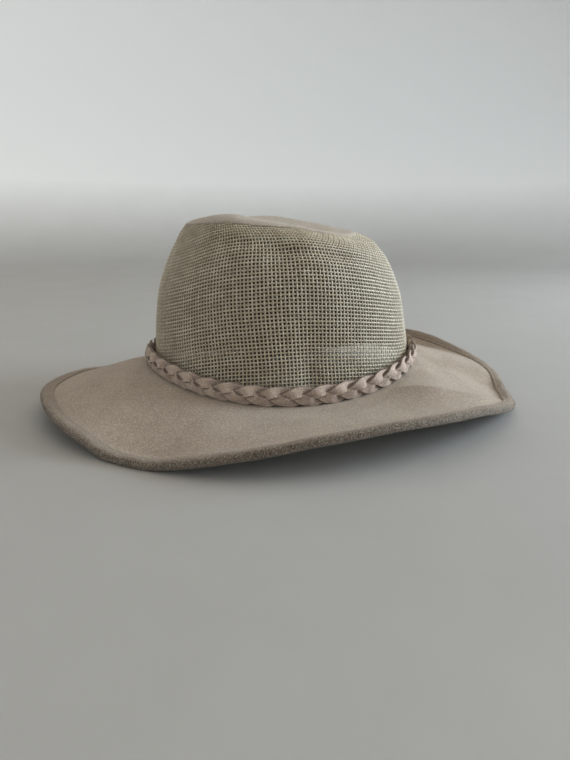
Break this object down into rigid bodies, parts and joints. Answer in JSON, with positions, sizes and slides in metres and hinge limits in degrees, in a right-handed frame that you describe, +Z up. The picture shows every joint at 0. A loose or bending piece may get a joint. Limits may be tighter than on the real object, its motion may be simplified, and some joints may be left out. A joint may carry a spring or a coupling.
{
  "type": "wide-brimmed outdoor hat",
  "caption": "Wide-brimmed suede sun hat with an open net crown side, sunken suede top, soft bound brim edge and flat plaited leather band.",
  "frame": {"origin": "middle of the brim's outline on the surface the hat rests on", "axes": "+Z up; -Y towards the front of the hat; +X towards the wearer's left"},
  "size_m": [0.3247, 0.3536, 0.1335],
  "materials": {
    "brim_suede": "matt nap",
    "binding_suede": "matt nap",
    "net": "satin",
    "crown_suede": "matt nap",
    "band_leather": "matt"
  },
  "bodies": {
    "root": {"brim": "brim_suede", "edge_binding": "binding_suede", "crown_net": "net", "crown_top": "crown_suede", "band_strand_1": "band_leather", "band_strand_2": "band_leather", "band_strand_3": "band_leather"}
  },
  "joints": []
}
